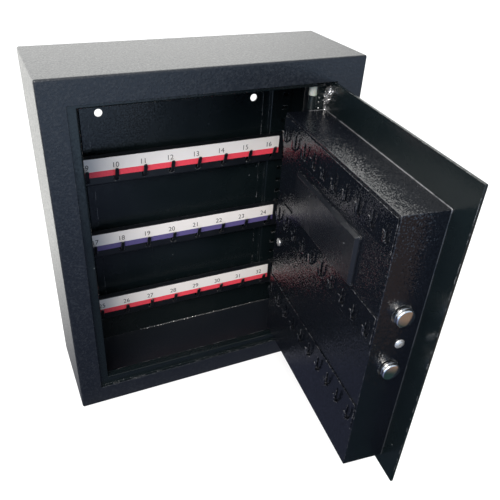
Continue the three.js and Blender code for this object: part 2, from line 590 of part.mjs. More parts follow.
addPart(door, 'face_screw', screw('y'), CHROME).position.set(FACE_SCREW.x, PAN.faceY, FACE_SCREW.z);
const sideScrew = addPart(door, 'side_screw', screw('x'), CHROME);
sideScrew.position.set(PAN.x0, SIDE_SCREW.y, SIDE_SCREW.z);
sideScrew.rotation.z = Math.PI;

for (const [place, way] of [['upper', 1], ['lower', -1]]) {
  const boltZ = LOCK_Z + way * BOLT.spacing / 2;
  addPart(door, `${place}_bolt`, lockBolt(boltZ), CHROME);
  addPart(door, `${place}_bolt_bush`, boltBush(boltZ), ZINC);
  addPart(door, `${place}_guide_stud`, guideStud(LOCK_Z + way * GUIDE_STUD.spacing / 2), ZINC);
}
addPart(door, 'bolt_carrier', boltCarrier(), ZINC);
addPart(door, 'knob_rose', knobRose(), CHROME);
addPart(door, 'knob', knob(), CHROME);
addPart(door, 'knob_spindle', knobSpindle(), ZINC);
addPart(door, 'drive_cam', driveCam(), ZINC);
addPart(door, 'lock_case', lockCase(), ZINC);
addPart(door, 'lock_case_lid', lockCaseLid(), ZINC);
addPart(door, 'lock_tongue', lockTongue(), ZINC);
addPart(door, 'key_plug', keyPlug(), CHROME);
addPart(door, 'key_escutcheon', keyEscutcheon(), CHROME);

export default cabinet;
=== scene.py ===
"""The looks of a wall-mounted key cabinet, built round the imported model.

Lengths are in millimetres, and in metres for the floor's colours, the lamp and the camera.
"""
import json
import math

import bmesh
import bpy
from mathutils import Matrix, Vector, noise

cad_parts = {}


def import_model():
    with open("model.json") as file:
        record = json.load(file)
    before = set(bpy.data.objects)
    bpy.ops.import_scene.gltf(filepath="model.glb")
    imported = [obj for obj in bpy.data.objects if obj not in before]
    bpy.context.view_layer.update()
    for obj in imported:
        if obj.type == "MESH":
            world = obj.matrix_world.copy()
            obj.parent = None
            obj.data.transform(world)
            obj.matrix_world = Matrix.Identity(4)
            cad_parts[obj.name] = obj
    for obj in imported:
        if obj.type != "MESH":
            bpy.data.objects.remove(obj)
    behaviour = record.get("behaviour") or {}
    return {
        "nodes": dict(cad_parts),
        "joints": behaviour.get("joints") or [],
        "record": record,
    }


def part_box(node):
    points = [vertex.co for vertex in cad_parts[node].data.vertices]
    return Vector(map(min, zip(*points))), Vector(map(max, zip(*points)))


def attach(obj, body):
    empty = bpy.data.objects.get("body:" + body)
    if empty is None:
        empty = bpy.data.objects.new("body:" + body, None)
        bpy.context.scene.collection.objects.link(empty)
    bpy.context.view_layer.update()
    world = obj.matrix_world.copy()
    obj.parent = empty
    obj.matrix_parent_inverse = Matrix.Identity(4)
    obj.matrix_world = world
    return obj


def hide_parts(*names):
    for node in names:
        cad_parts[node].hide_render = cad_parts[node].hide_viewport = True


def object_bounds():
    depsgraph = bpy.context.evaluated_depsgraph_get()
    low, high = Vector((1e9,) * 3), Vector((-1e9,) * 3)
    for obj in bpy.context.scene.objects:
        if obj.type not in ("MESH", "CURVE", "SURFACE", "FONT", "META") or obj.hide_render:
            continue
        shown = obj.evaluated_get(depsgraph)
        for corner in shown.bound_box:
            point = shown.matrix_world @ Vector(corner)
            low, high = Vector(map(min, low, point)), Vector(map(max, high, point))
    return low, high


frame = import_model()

CAD_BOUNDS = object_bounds()
MM = 0.001

# ---- driving dimensions
SHEET = 2.0          # body
THIN = 1.5           # door stop, uprights, pan and cover
RAIL_SHEET = 1.2
STRIP_SHEET = 1.0
GAP = 0.3            # between pieces that touch
BEND = 2.5           # outside radius of the body's folds
DOOR_GAP = 1.0
HINGE_GAP = 3.0
STOP_LIP = 13.0
STOP_LEG = 10.75     # from the middle of the stop's web to its back edge
STOP_TOP_RISE = 5.5  # how much narrower the lip is along the top
UPRIGHT_FOOT = 11
PAN_BEND = 0.8
BEAD_RADIUS = 0.8
FIXING_HOLE = {"x": 107, "z": 141.5, "radius": 5}
LUG = {"sheet": 3, "hole_radius": 3.3}
BOLT = {"radius": 10.5, "shaft_radius": 9.6, "hole_radius": 11.3}
ARM = {"sheet": 3.6, "barrel_radius": 5, "bore_radius": 3.1}
SCREW_SHANK = 7
RAIL_BAR = {"half_length": 150, "behind_top": 3.6, "lower_lip": 6.4, "ear_width": 6, "ear_height": 8}
RAIL_HOOKS = {"count": 8, "pitch": 38, "width": 5}
RAIL_WINDOW = {"width": 7.4, "height": 20, "below": 33}
STRIP_HOOKS = {"count": 10, "pitch": 26.6, "width": 3.9}
STRIP_WINDOW = {"width": 7.4, "height": 20, "below": 11}
SLOT = {"x": 153, "pitch": 18.5, "count": 19, "lowest": -170, "width": 8, "height": 5}
LABEL_BAND = 8.0
NUMBERS = {"first": {"top": 9, "middle": 17, "bottom": 25}, "pitch": 36.8, "centre": -2.8, "height": 7.0,
           "above_band": 3.2}
DIGIT_SHARE = 0.7    # a digit's height as a share of the font's size

PLACES = ("top", "middle", "bottom")
LEVELS = ("upper", "lower")

# ---- the door's two positions
SWING = next(joint for joint in frame["joints"] if joint["name"] == "door_swing")
PIVOT = Vector(SWING["pos_m"]) / MM
OPEN_ANGLE = math.radians(-SWING["range_deg"][0])
OPENED = Matrix.Translation(PIVOT) @ Matrix.Rotation(OPEN_ANGLE, 4, "Z") @ Matrix.Translation(-PIVOT)
SHUT = OPENED.inverted()


def corners(points):
    """Lowest and highest corner of some points."""
    columns = list(zip(*points))
    return Vector(map(min, columns)), Vector(map(max, columns))


def cad_box(node):
    """A node's lowest and highest corner at rest."""
    low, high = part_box(node)
    return low / MM, high / MM


def shut_box(node):
    """A door node's lowest and highest corner with the door shut."""
    return corners([SHUT @ (v.co / MM) for v in frame["nodes"][node].data.vertices])


def shut_middle(node):
    """The middle of a door node's box with the door shut."""
    low, high = shut_box(node)
    return (low + high) / 2


def row(count, pitch):
    """Evenly spaced stations centred on 0."""
    return [(i - (count - 1) / 2) * pitch for i in range(count)]


# ---- outlines
def arc(centre, radius, start, end, steps):
    """Points on a circle between two angles in degrees, both ends included."""
    angles = [math.radians(start + (end - start) * i / steps) for i in range(steps + 1)]
    return [(centre[0] + radius * math.cos(a), centre[1] + radius * math.sin(a)) for a in angles]


def rounded_rect(x0, x1, z0, z1, radius, steps=5):
    """A rectangle with rounded corners."""
    centres = [(x1 - radius, z0 + radius), (x1 - radius, z1 - radius),
               (x0 + radius, z1 - radius), (x0 + radius, z0 + radius)]
    return [p for i, c in enumerate(centres) for p in arc(c, radius, i * 90 - 90, i * 90, steps)]


def circle(x, z, radius, steps=32):
    """Points on a whole circle."""
    return arc((x, z), radius, 0, 360 - 360 / steps, steps - 1)


def soften(path, radius, steps=4):
    """An open path with each inner corner rounded."""
    points = [Vector(path[0])]
    for before, corner, after in zip(path, path[1:], path[2:]):
        corner = Vector(corner)
        start = corner + (Vector(before) - corner).normalized() * radius
        end = corner + (Vector(after) - corner).normalized() * radius
        for i in range(steps + 1):
            t = i / steps
            points.append((1 - t) ** 2 * start + 2 * t * (1 - t) * corner + t * t * end)
    return points + [Vector(path[-1])]


def fold(path, thickness, radius):
    """The outline of a folded strip of constant thickness along a centre line."""
    line = soften(path, radius)
    left, right = [], []
    for i, point in enumerate(line):
        along = (line[min(i + 1, len(line) - 1)] - line[max(i - 1, 0)]).normalized()
        across = Vector((-along.y, along.x)) * thickness / 2
        left.append(point + across)
        right.append(point - across)
    return left + right[::-1]


# ---- solids
def loft(loops, ring=False):
    """Skins a run of loops of equal length. A ring joins the last to the first, otherwise both are capped."""
    bm = bmesh.new()
    rows = [[bm.verts.new(p) for p in loop] for loop in loops]
    pairs = list(zip(rows, rows[1:])) + ([(rows[-1], rows[0])] if ring else [])
    for a, b in pairs:
        for i in range(len(a)):
            j = (i + 1) % len(a)
            bm.faces.new((a[i], a[j], b[j], b[i]))
    if not ring:
        bm.faces.new(rows[0])
        bm.faces.new(rows[-1][::-1])
    bmesh.ops.recalc_face_normals(bm, faces=bm.faces)
    return bm


def extrude_x(outline, x0, x1):
    """An outline in Y and Z drawn out along X."""
    return loft([[(x, y, z) for y, z in outline] for x in (x0, x1)])


def extrude_z(outline, z0, z1):
    """An outline in X and Y drawn out along Z."""
    return loft([[(x, y, z) for x, y in outline] for z in (z0, z1)])


def block(low, high):
    """A box between two corners."""
    outline = [(low[0], low[1]), (high[0], low[1]), (high[0], high[1]), (low[0], high[1])]
    return extrude_z(outline, low[2], high[2])


def lathe(profile, centre, axis, segments=64):
    """Turns [radius, station] pairs about an axis through centre, and caps both ends."""
    loops = []
    for radius, station in profile:
        around = []
        for i in range(segments):
            a = 2 * math.pi * i / segments
            u, v = radius * math.cos(a), radius * math.sin(a)
            around.append({"x": (station, u, v), "y": (u, station, -v), "z": (u, v, station)}[axis])
        loops.append([Vector(p) + Vector(centre) for p in around])
    return loft(loops)


def tube(profile, centre, axis, segments=64):
    """As lathe, for a profile that closes on itself and never meets the axis."""
    bm = lathe(profile, centre, axis, segments)
    caps = [f for f in bm.faces if len(f.verts) == segments]
    bmesh.ops.delete(bm, geom=caps, context="FACES_ONLY")
    edges = [e for e in bm.edges if e.is_boundary]
    bmesh.ops.bridge_loops(bm, edges=edges)
    bmesh.ops.recalc_face_normals(bm, faces=bm.faces)
    return bm


def as_mesh(bm, name):
    """The solid as a mesh. The bmesh is then freed."""
    mesh = bpy.data.meshes.new(name)
    bm.to_mesh(mesh)
    bm.free()
    return mesh


def merge(*parts):
    """Several solids in one mesh."""
    whole = parts[0]
    for part in parts[1:]:
        mesh = as_mesh(part, "part")
        whole.from_mesh(mesh)
        bpy.data.meshes.remove(mesh)
    return whole


def add_object(name, data):
    """Puts a mesh, curve, lamp or camera in the scene."""
    made = bpy.data.objects.new(name, data)
    bpy.context.scene.collection.objects.link(made)
    return made


def evaluated_bmesh(source):
    """The object's final mesh as a bmesh. The object is then removed."""
    depsgraph = bpy.context.evaluated_depsgraph_get()
    mesh = bpy.data.meshes.new_from_object(source.evaluated_get(depsgraph))
    bm = bmesh.new()
    bm.from_mesh(mesh)
    bpy.data.meshes.remove(mesh)
    bpy.data.objects.remove(source)
    return bm


def cut(bm, cutters):
    """The solid less the cutters, which don't touch each other."""
    base = add_object("base", as_mesh(bm, "base"))
    tool = add_object("tool", as_mesh(merge(*cutters), "tool"))
    step = base.modifiers.new("cut", "BOOLEAN")
    step.operation = "DIFFERENCE"
    step.solver = "EXACT"
    step.object = tool
    result = evaluated_bmesh(base)
    bpy.data.objects.remove(tool)
    return result


def sheet(outlines, y0, y1, edge=0.25):
    """A flat sheet between two depths. Its first outline in X and Z is its edge, the others are windows."""
    curve = bpy.data.curves.new("sheet", "CURVE")
    curve.dimensions = "2D"
    curve.fill_mode = "BOTH"
    curve.extrude = (y1 - y0) / 2 - edge
    curve.bevel_depth = edge
    curve.bevel_resolution = 1
    curve.offset = -edge
    for outline in outlines:
        spline = curve.splines.new("POLY")
        spline.points.add(len(outline) - 1)
        for point, (x, z) in zip(spline.points, outline):
            point.co = (x, z, 0, 1)
        spline.use_cyclic_u = True
    bm = evaluated_bmesh(add_object("sheet", curve))
    bmesh.ops.remove_doubles(bm, verts=bm.verts, dist=0.001)
    standing = Matrix.Rotation(math.pi / 2, 4, "X")
    bm.transform(Matrix.Translation((0, (y0 + y1) / 2, 0)) @ standing)
    bmesh.ops.recalc_face_normals(bm, faces=bm.faces)
    return bm


def soft_edges(bm, width, segments=2, angle=40):
    """Rounds every edge that is sharper than the angle."""
    sharp = [e for e in bm.edges if len(e.link_faces) == 2 and e.calc_face_angle(0) > math.radians(angle)]
    bmesh.ops.bevel(bm, geom=sharp, offset=width, offset_type="OFFSET", segments=segments, profile=0.5,
                    affect="EDGES", clamp_overlap=True)
    return bm


def tongue(path, widths, thickness, x):
    """A strip pressed out of a sheet, along a path in Y and Z, with its width at each point of the path."""
    line = [Vector(p) for p in path]
    loops = []
    for i, (point, width) in enumerate(zip(line, widths)):
        along = (line[min(i + 1, len(line) - 1)] - line[max(i - 1, 0)]).normalized()
        across = Vector((-along.y, along.x)) * thickness / 2
        sides = [(-width / 2, point + across), (width / 2, point + across),
                 (width / 2, point - across), (-width / 2, point - across)]
        loops.append([(x + dx, p.x, p.y) for dx, p in sides])
    return soft_edges(loft(loops), 0.28)


def hooks(path, width, taper, thickness, stations):
    """A tongue at each station. The taper holds its last widths as shares of the full one."""
    widths = [width] * (len(path) - len(taper)) + [width * share for share in taper]
    return [tongue(path, widths, thickness, x) for x in stations]


def lumpy_bead(start, end, radius, lump, seed, segments=40, around=12):
    """A rough weld bead between two points."""
    start, end = Vector(start), Vector(end)
    along = (end - start).normalized()
    side = along.orthogonal().normalized()
    up = along.cross(side)
    loops = []
    for i in range(segments + 1):
        t = i / segments
        centre = start.lerp(end, t)
        taper = math.sqrt(max(0.02, 1 - (2 * t - 1) ** 8))
        loop = []
        for k in range(around):
            a = 2 * math.pi * k / around
            out = side * math.cos(a) + up * math.sin(a)
            rough = noise.noise((centre + out * radius) * 0.45 + Vector((seed, seed * 1.7, 0)))
            loop.append(centre + out * taper * (radius + lump * rough))
        loops.append(loop)
    return loft(loops)


# ---- pieces
def piece(name, bm, material, body, replaces=(), smooth_below=35):
    """Makes a piece that rides on a body. All but the cabinet's are drawn shut, then swung open."""
    mesh = as_mesh(bm, name)
    if body != "cabinet":
        mesh.transform(OPENED)
    mesh.transform(Matrix.Scale(MM, 4))
    mesh.shade_smooth()
    mesh.set_sharp_from_angle(angle=math.radians(smooth_below))
    mesh.materials.append(material)
    made = add_object(name, mesh)
    weighted = made.modifiers.new("flat faces stay flat", "WEIGHTED_NORMAL")
    weighted.keep_sharp = True
    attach(made, body)
    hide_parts(*replaces)
    return made


# ---- materials
class Shader:
    """A material's node tree. Sizes of patterns are in millimetres."""

    def __init__(self, name):
        self.material = bpy.data.materials.new(name)
        self.material.use_nodes = True
        self.tree = self.material.node_tree
        self.surface = self.tree.nodes["Principled BSDF"]
        self.place = self.node("ShaderNodeTexCoord").outputs["Object"]

    def node(self, kind, **settings):
        """Adds a node."""
        made = self.tree.nodes.new(kind)
        for key, value in settings.items():
            setattr(made, key, value)
        return made

    def link(self, value, socket):
        """Links an output, or sets a plain value."""
        if isinstance(value, bpy.types.NodeSocket):
            self.tree.links.new(value, socket)
        elif isinstance(value, tuple) and len(value) == 3 and socket.type == "RGBA":
            socket.default_value = (*value, 1)
        else:
            socket.default_value = value

    def set(self, **inputs):
        """Sets or links inputs of the surface."""
        for key, value in inputs.items():
            self.link(value, self.surface.inputs[key.replace("_", " ")])

    def stretched(self, x, y, z):
        """Coordinates that run slower along an axis with a larger factor."""
        mapping = self.node("ShaderNodeMapping")
        self.link(self.place, mapping.inputs["Vector"])
        mapping.inputs["Scale"].default_value = (1 / x, 1 / y, 1 / z)
        return mapping.outputs["Vector"]

    def noise(self, size, detail=3, roughness=0.5, where=None):
        """A cloudy pattern from 0 to 1."""
        made = self.node("ShaderNodeTexNoise")
        self.link(where or self.place, made.inputs["Vector"])
        made.inputs["Scale"].default_value = 1 / (size * MM)
        made.inputs["Detail"].default_value = detail
        made.inputs["Roughness"].default_value = roughness
        return made.outputs["Fac"]

    def cells(self, size, feature="F1"):
        """The distance to the middle of the nearest cell."""
        made = self.node("ShaderNodeTexVoronoi", feature=feature)
        self.link(self.place, made.inputs["Vector"])
        made.inputs["Scale"].default_value = 1 / (size * MM)
        return made.outputs["Distance"]

    def remap(self, value, low, high, to_low=0.0, to_high=1.0):
        """A value moved from one range to another and kept inside it."""
        made = self.node("ShaderNodeMapRange")
        for key, item in zip(("Value", "From Min", "From Max", "To Min", "To Max"),
                             (value, low, high, to_low, to_high)):
            self.link(item, made.inputs[key])
        return made.outputs["Result"]

    def mix(self, share, first, second):
        """Blends two colours."""
        made = self.node("ShaderNodeMix", data_type="RGBA")
        self.link(share, made.inputs["Factor"])
        self.link(first, made.inputs[6])
        self.link(second, made.inputs[7])
        return made.outputs[2]

    def math(self, operation, first, second):
        """One operation on two values."""
        made = self.node("ShaderNodeMath", operation=operation)
        self.link(first, made.inputs[0])
        self.link(second, made.inputs[1])
        return made.outputs[0]

    def along(self, axis):
        """One coordinate of the place, in metres."""
        made = self.node("ShaderNodeSeparateXYZ")
        self.link(self.place, made.inputs[0])
        return made.outputs[axis]

    def bump(self, height, depth):
        """A height from 0 to 1 that stands for depth millimetres."""
        made = self.node("ShaderNodeBump")
        made.inputs["Strength"].default_value = 1
        made.inputs["Distance"].default_value = depth * MM
        self.link(height, made.inputs["Height"])
        return made.outputs["Normal"]

    def speckled(self, normal, size, tilt):
        """Tips the surface at random from place to place, for grain that is finer than a height can show."""
        grain = self.node("ShaderNodeTexNoise")
        self.link(self.place, grain.inputs["Vector"])
        grain.inputs["Scale"].default_value = 1 / (size * MM)
        grain.inputs["Detail"].default_value = 1
        centred = self.node("ShaderNodeVectorMath", operation="SUBTRACT")
        self.link(grain.outputs["Color"], centred.inputs[0])
        centred.inputs[1].default_value = (0.5, 0.5, 0.5)
        spread = self.node("ShaderNodeVectorMath", operation="MULTIPLY_ADD")
        self.link(centred.outputs[0], spread.inputs[0])
        spread.inputs[1].default_value = (tilt, tilt, tilt)
        self.link(normal, spread.inputs[2])
        unit = self.node("ShaderNodeVectorMath", operation="NORMALIZE")
        self.link(spread.outputs[0], unit.inputs[0])
        return unit.outputs[0]

    def edges(self, radius, least=0.02, most=0.12):
        """1 on outward and inward edges, 0 on flats."""
        bevel = self.node("ShaderNodeBevel", samples=6)
        bevel.inputs["Radius"].default_value = radius * MM
        plain = self.node("ShaderNodeNewGeometry").outputs["Normal"]
        dot = self.node("ShaderNodeVectorMath", operation="DOT_PRODUCT")
        self.link(bevel.outputs["Normal"], dot.inputs[0])
        self.link(plain, dot.inputs[1])
        return self.remap(self.math("SUBTRACT", 1.0, dot.outputs["Value"]), least, most)


def textured_paint():
    """Dark powder coat with a fine pebbled grain, for the outside of the body."""
    s = Shader("textured_paint")
    grain = s.noise(2.3, detail=4, roughness=0.62)
    pebbles = s.cells(2.8, "SMOOTH_F1")
    height = s.math("ADD", grain, s.math("MULTIPLY", pebbles, 0.6))
    cloud = s.noise(70, detail=2)
    dark = s.mix(cloud, (0.0045, 0.0065, 0.0105), (0.0075, 0.0095, 0.014))
    speck = s.remap(grain, 0.50, 0.68)
    painted = s.mix(speck, dark, (0.016, 0.019, 0.024))
    scuffed = s.math("MULTIPLY", s.edges(0.9), s.remap(s.noise(6, detail=4), 0.55, 0.62))
    s.set(Base_Color=s.mix(scuffed, painted, (0.16, 0.16, 0.165)),
          Roughness=s.remap(grain, 0.3, 0.7, 0.30, 0.46), Normal=s.bump(height, 0.26))
    return s.material


def satin_paint(name, dark, light):
    """Smooth dark paint with faint ripples, a few dust specks and rubbed edges."""
    s = Shader(name)
    cloud = s.noise(55, detail=3)
    dust = s.remap(s.cells(17), 0.045, 0.035)
    painted = s.mix(cloud, dark, light)
    dusty = s.mix(s.math("MULTIPLY", dust, s.remap(cloud, 0.55, 0.6)), painted, (0.30, 0.31, 0.32))
    rubbed = s.math("MULTIPLY", s.edges(0.9), s.remap(s.noise(7, detail=5), 0.50, 0.60, 0.0, 0.8))
    s.set(Base_Color=s.mix(rubbed, dusty, (0.30, 0.30, 0.31)),
          Roughness=s.remap(cloud, 0.3, 0.7, 0.20, 0.30),
          Normal=s.speckled(s.bump(s.noise(3.4, detail=2), 0.05), 2.1, 0.17))
    return s.material


def gloss_enamel(name, depth, tilt, wear_and_painted_highlight, reach):
    """Near-black gloss enamel with orange peel and lighter edges, partly rubbed paint and partly painted
    highlight, for the door's inner box and hook strips.
    """
    s = Shader(name)
    peel = s.noise(2.2, detail=1)
    broad = s.noise(9, detail=1)
    cloud = s.noise(60, detail=2)
    height = s.math("ADD", peel, s.math("MULTIPLY", broad, 0.8))
    # lighter edges: partly rubbed paint, partly a painted highlight on the hooks' tips and bends and along
    # the strips' edges
    rubbed = s.math("MULTIPLY", s.edges(reach), s.remap(s.noise(5, detail=4), 0.48, 0.60, 0.0, wear_and_painted_highlight))
    painted = s.mix(cloud, (0.0032, 0.0042, 0.0065), (0.0055, 0.0065, 0.0095))
    s.set(Base_Color=s.mix(rubbed, painted, (0.24, 0.24, 0.25)),
          Roughness=s.remap(cloud, 0.3, 0.7, 0.07, 0.12), Normal=s.speckled(s.bump(height, depth), 1.5, tilt))
    return s.material


def rail_paint():
    """Dark satin paint that is chipped to bright steel along the folds."""
    s = Shader("rail_paint")
    cloud = s.noise(30, detail=3)
    chips = s.math("MULTIPLY", s.edges(0.7, 0.01, 0.08),
                   s.remap(s.noise(3.5, detail=5, roughness=0.6), 0.50, 0.58))
    painted = s.mix(cloud, (0.0045, 0.0055, 0.008), (0.008, 0.0095, 0.0125))
    s.set(Base_Color=s.mix(chips, painted, (0.42, 0.42, 0.41)), Metallic=s.math("MULTIPLY", chips, 0.6),
          Roughness=s.remap(cloud, 0.3, 0.7, 0.28, 0.42), Normal=s.bump(s.noise(1.6, detail=2), 0.03))
    return s.material


def label_card(name, band, low_z):
    """Cream card with fine fibres and a printed band along its lower edge."""
    s = Shader(name)
    fibre = s.noise(0.7, detail=4, where=s.stretched(4, 1, 1))
    stain = s.noise(38, detail=3)
    cream = s.mix(stain, (0.84, 0.79, 0.755), (0.91, 0.87, 0.84))
    edge, blur = (low_z + LABEL_BAND) * MM, 0.06 * MM
    ink_line = s.remap(s.along("Z"), edge - blur, edge + blur, 1.0, 0.0)
    printed = s.mix(s.remap(fibre, 0.3, 0.7), band, tuple(min(1, c * 1.16 + 0.01) for c in band))
    s.set(Base_Color=s.mix(ink_line, cream, printed), Roughness=s.remap(fibre, 0.3, 0.7, 0.42, 0.56),
          Normal=s.bump(fibre, 0.012))
    return s.material


def number_ink():
    """Slightly faded dark grey ink."""
    s = Shader("number_ink")
    fade = s.noise(2.0, detail=3)
    s.set(Base_Color=s.mix(fade, (0.022, 0.022, 0.022), (0.07, 0.067, 0.064)),
          Roughness=s.remap(fade, 0.3, 0.7, 0.5, 0.65))
    return s.material


def chrome():
    """Polished chrome with fine wipe marks."""
    s = Shader("chrome")
    wipes = s.noise(0.5, detail=3, where=s.stretched(1, 1, 14))
    haze = s.noise(9, detail=3)
    s.set(Base_Color=s.mix(haze, (0.74, 0.74, 0.745), (0.83, 0.83, 0.82)), Metallic=1.0,
          Roughness=s.remap(haze, 0.3, 0.7, 0.07, 0.17), Normal=s.bump(wipes, 0.004))
    return s.material


def screw_plating():
    """Bright, slightly soft plating that stays light among dark paint."""
    s = Shader("screw_plating")
    haze = s.noise(2.5, detail=3)
    s.set(Base_Color=s.mix(haze, (0.52, 0.52, 0.51), (0.70, 0.70, 0.69)), Metallic=0.75,
          Roughness=s.remap(haze, 0.3, 0.7, 0.22, 0.36), Normal=s.bump(s.noise(0.9, detail=2), 0.03))
    return s.material


def bead_paint():
    """Thin paint over the filler bead, with a painted highlight: lighter and more metallic in patches near
    the top of the door's box.
    """
    s = Shader("bead_paint")
    top = shut_box("door_pan")[1].z * MM
    # painted highlight: within the top few millimetres of the door's box the bead's colour turns light and
    # metallic, standing in for the sky's reflection along that edge
    upper = s.remap(s.along("Z"), top - 4 * MM, top - 2 * MM, 0.12, 1.0)
    wear_and_painted_highlight = s.math("MULTIPLY", upper, s.remap(s.noise(12, detail=4), 0.30, 0.50))
    s.set(Base_Color=s.mix(wear_and_painted_highlight, (0.008, 0.011, 0.014), (0.19, 0.19, 0.20)),
          Metallic=s.math("MULTIPLY", wear_and_painted_highlight, 0.6), Roughness=s.remap(wear_and_painted_highlight, 0, 1, 0.24, 0.36),
          Normal=s.bump(s.noise(2, detail=3), 0.06))
    return s.material


def zinc_plate():
    """Zinc-plated steel with soft spangle."""
    s = Shader("zinc_plate")
    spangle = s.cells(5)
    brushed = s.noise(0.4, detail=3, where=s.stretched(1, 1, 10))
    s.set(Base_Color=s.mix(spangle, (0.50, 0.51, 0.52), (0.64, 0.64, 0.62)), Metallic=1.0,
          Roughness=s.remap(brushed, 0.3, 0.7, 0.28, 0.42), Normal=s.bump(brushed, 0.01))
    return s.material


def weld_metal():
    """Painted-over weld that shines where the bead is rough."""
    s = Shader("weld_metal")
    lumps = s.noise(1.6, detail=3)
    bright = s.remap(lumps, 0.42, 0.52)
    s.set(Base_Color=s.mix(bright, (0.03, 0.03, 0.035), (0.62, 0.61, 0.60)),
          Metallic=s.math("MULTIPLY", bright, 0.9), Roughness=0.16,
          Normal=s.bump(s.noise(2.2, detail=3), 0.5))
    return s.material


def nylon():
    """Off-white moulded nylon, a little translucent."""
    s = Shader("nylon")
    cloud = s.noise(5, detail=3)
    s.set(Base_Color=s.mix(cloud, (0.40, 0.42, 0.37), (0.54, 0.55, 0.50)),
          Roughness=s.remap(cloud, 0.3, 0.7, 0.35, 0.5),
          Subsurface_Weight=0.15, Subsurface_Scale=0.002, Normal=s.bump(s.noise(0.8, detail=2), 0.02))
    return s.material


TEXTURED = textured_paint()
SATIN = satin_paint("satin_paint", (0.0030, 0.0058, 0.0068), (0.0052, 0.0085, 0.0097))
COVER = satin_paint("cover_paint", (0.0058, 0.0068, 0.0092), (0.0088, 0.0100, 0.0130))
ENAMEL = gloss_enamel("gloss_enamel", depth=0.22, tilt=0.72, wear_and_painted_highlight=0.55, reach=1.5)
STRIP_ENAMEL = gloss_enamel("strip_enamel", depth=0.09, tilt=0.36, wear_and_painted_highlight=0.85, reach=0.9)
RAIL = rail_paint()
CHROME = chrome()
SCREW = screw_plating()
BEAD = bead_paint()
ZINC = zinc_plate()
WELD = weld_metal()
NYLON = nylon()
INK = number_ink()


# ---- cabinet body
def doorway():
    """Lowest and highest corner of the opening in the front frame."""
    low, high = shut_box("door_plate")
    return low - Vector((DOOR_GAP, 0, DOOR_GAP)), high + Vector((HINGE_GAP, 0, DOOR_GAP))


def rect_loop(low, high, inset, radius, y):
    """A rounded rectangle round the box's X and Z extent, moved in by inset, at depth y."""
    outline = rounded_rect(low.x + inset, high.x - inset, low.z + inset, high.z - inset, radius)
    return [(x, y, z) for x, z in outline]


def body_shell():
    """The body's sheet, from its back edge over the front folds and the doorway's edge to its inside."""
    low, high = cad_box("body_shell")
    door_low, door_high = doorway()
    front, edge = low.y, 0.45
    loops = [rect_loop(low, high, 0, BEND, high.y)]
    for angle in range(0, 91, 15):
        a = math.radians(angle)
        inset, y = BEND * (1 - math.cos(a)), front + BEND * (1 - math.sin(a))
        loops.append(rect_loop(low, high, inset, max(BEND - inset, 0.3), y))
    for angle in range(90, 271, 30):
        a = math.radians(angle)
        middle = front + SHEET / 2
        y = middle - (SHEET / 2 - edge) * (1 if angle <= 180 else -1) - edge * math.sin(a)
        loops.append(rect_loop(door_low, door_high, -edge - edge * math.cos(a), 1.0, y))
    loops.append(rect_loop(low, high, SHEET + 0.8, 0.5, front + SHEET))
    loops.append(rect_loop(low, high, SHEET, 0.6, front + SHEET + 0.8))
    loops.append(rect_loop(low, high, SHEET, 0.6, high.y))
    piece("body_sheet", loft(loops, ring=True), TEXTURED, "cabinet", ["body_shell"])


def back_panel():
    """The back's sheet with its two fixing holes."""
    low, high = cad_box("back_panel")
    holes = [circle(side * FIXING_HOLE["x"], FIXING_HOLE["z"], FIXING_HOLE["radius"]) for side in (-1, 1)]
    outlines = [rounded_rect(low.x, high.x, low.z, high.z, 0.5, 2), *holes]
    piece("back_sheet", sheet(outlines, low.y, high.y), SATIN, "cabinet", ["back_panel"])


def door_stop():
    """A folded strip that runs along the top, the lock side and the bottom."""
    low, high = cad_box("door_stop_frame")
    wall, web, lip = THIN / 2, high.y - STOP_LEG, STOP_LIP - THIN / 2
    section = fold([(wall, low.y), (wall, web), (lip, web), (lip, high.y)], THIN, radius=1.6)

    def at_top(d):
        """Height along the top at a distance d from the wall."""
        return high.z - (d - STOP_TOP_RISE if d > STOP_LIP / 2 else d)

    stations = [lambda d: (high.x, at_top(d)), lambda d: (low.x + d, at_top(d)),
                lambda d: (low.x + d, low.z + d), lambda d: (high.x, low.z + d)]
    loops = [[(station(d)[0], y, station(d)[1]) for d, y in section] for station in stations]
    piece("door_stop", loft(loops), SATIN, "cabinet", ["door_stop_frame"], smooth_below=50)


def upright(side, node):
    """A folded strip up one side of the back, with a slot for a rail's ear at each step."""
    low, high = cad_box(node)
    near, far = (low.x, high.x) if side > 0 else (high.x, low.x)
    foot, wall = near + side * UPRIGHT_FOOT, far - side * THIN / 2
    back, web = high.y - THIN / 2, low.y + THIN / 2
    path = [(near, back), (foot, back), (foot, web), (wall, web), (wall, high.y)]
    bar = extrude_z(fold(path, THIN, radius=1.5), low.z, high.z)
    x, half_width, half_height = side * SLOT["x"], SLOT["width"] / 2, SLOT["height"] / 2
    slots = []
    for i in range(SLOT["count"]):
        z = SLOT["lowest"] + i * SLOT["pitch"]
        slots.append(block((x - half_width, low.y - 1, z - half_height),
                           (x + half_width, low.y + 3, z + half_height)))
    piece(node + "_strip", cut(bar, slots), SATIN, "cabinet", [node], smooth_below=50)


def pivot_lug(node, wall_above):
    """A folded steel lug with the pin's hole."""
    low, high = cad_box(node)
    half = LUG["sheet"] / 2
    sheet_z = low.z + half if wall_above else high.z - half
    wall_z = high.z if wall_above else low.z
    path = [(low.y, sheet_z), (high.y - half, sheet_z), (high.y - half, wall_z)]
    lug = extrude_x(fold(path, LUG["sheet"], radius=3), low.x, high.x)
    hole = lathe([(LUG["hole_radius"], -6), (LUG["hole_radius"], 6)], (PIVOT.x, PIVOT.y, sheet_z), "z", 32)
    lug = soft_edges(cut(lug, [hole]), 0.3, angle=60)
    piece(node + "_sheet", lug, SATIN, "cabinet", [node])


